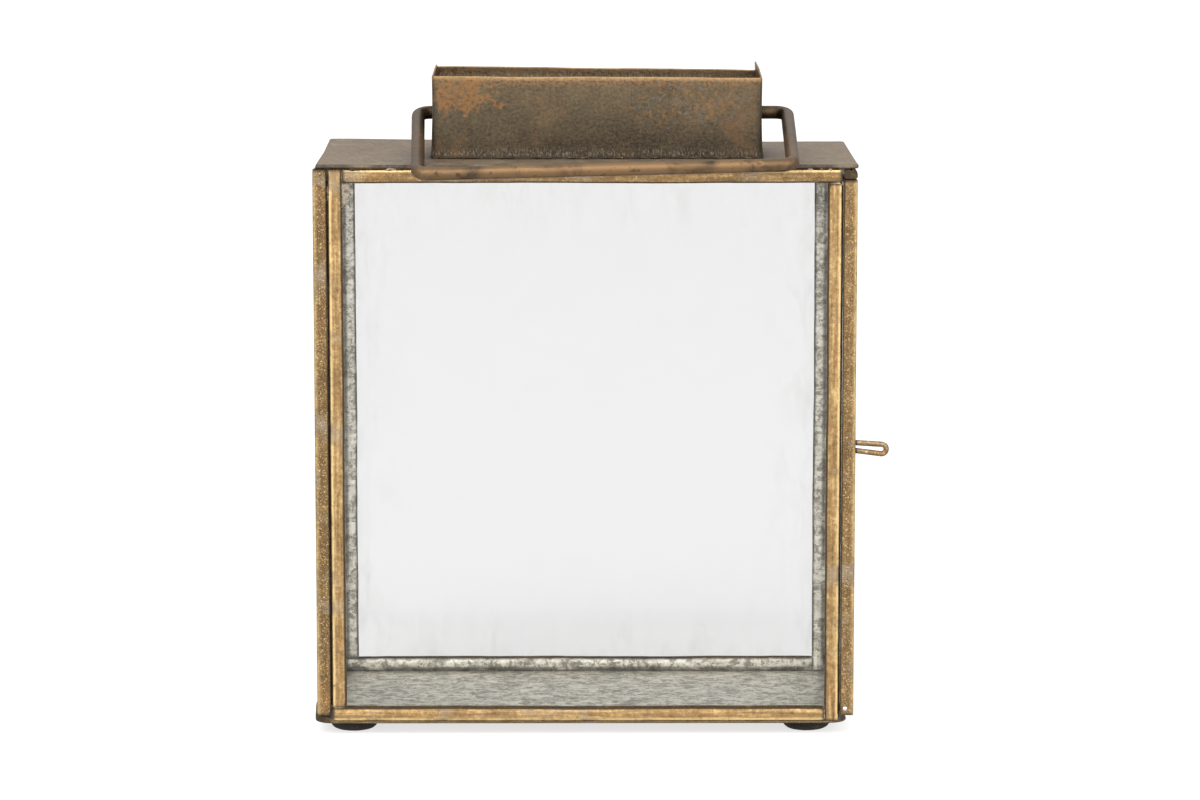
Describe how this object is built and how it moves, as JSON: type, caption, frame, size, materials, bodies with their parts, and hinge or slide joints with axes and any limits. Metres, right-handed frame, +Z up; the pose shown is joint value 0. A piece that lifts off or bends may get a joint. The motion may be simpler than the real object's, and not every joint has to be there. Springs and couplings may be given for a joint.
{
  "type": "candle lantern",
  "caption": "Shallow glass lantern framed in folded aged brass channel, with an open rectangular vent chimney, a swinging wire handle and a glazed end door with a wire pull.",
  "frame": {"origin": "centre of the whole lantern's bounding box, at the level the feet stand on", "axes": "+X to the door end, -Y to the broad front face that the handle rests towards, +Z up"},
  "size_m": [0.1916, 0.1045, 0.2192],
  "materials": {
    "frame_brass": "aged, satin, with solder stains",
    "plate_brass": "aged, dull grey-brown",
    "chimney_brass": "dark olive-brown patina with rust bloom",
    "handle_wire": "dark brown patina, worn on the grip",
    "fitting_brass": "aged satin",
    "zinc_sheet": "galvanised, mottled; brass-toned outside",
    "glass": "clear",
    "foot_rubber": "black, matte",
    "rivet_steel": "bright"
  },
  "bodies": {
    "lantern_body": {"front_bottom_channel": "frame_brass", "front_right_channel": "frame_brass", "front_top_channel": "frame_brass", "front_left_channel": "frame_brass", "rear_bottom_channel": "frame_brass", "rear_right_channel": "frame_brass", "rear_top_channel": "frame_brass", "rear_left_channel": "frame_brass", "left_front_channel": "frame_brass", "left_rear_channel": "frame_brass", "left_bottom_channel": "frame_brass", "left_top_channel": "frame_brass", "door_lintel": "frame_brass", "top_plate": "plate_brass", "chimney_wrap": "chimney_brass", "chimney_rear_wall": "chimney_brass", "hinge_rod": "fitting_brass", "base_sheet": "zinc_sheet", "front_glass": "glass", "rear_glass": "glass", "left_glass": "glass", "foot_front_left": "foot_rubber", "foot_front_right": "foot_rubber", "foot_rear_left": "foot_rubber", "foot_rear_right": "foot_rubber"},
    "handle": {"handle": "handle_wire"},
    "door": {"door_front_channel": "frame_brass", "door_rear_channel": "frame_brass", "door_bottom_channel": "frame_brass", "door_top_channel": "frame_brass", "door_glass": "glass", "door_pull": "fitting_brass", "door_corner_rivet": "rivet_steel"}
  },
  "joints": [
    {"name": "handle_swing", "type": "hinge", "parent": "lantern_body", "child": "handle", "pos_m": [-0.00115, 0.00975, 0.2054], "axis": [-1, 0, 0], "range_deg": [0, 206]},
    {"name": "door_hinge", "type": "hinge", "parent": "lantern_body", "child": "door", "pos_m": [0.08235, 0.0504, 0.09665], "axis": [0, 0, 1], "range_deg": [0, 180]}
  ]
}
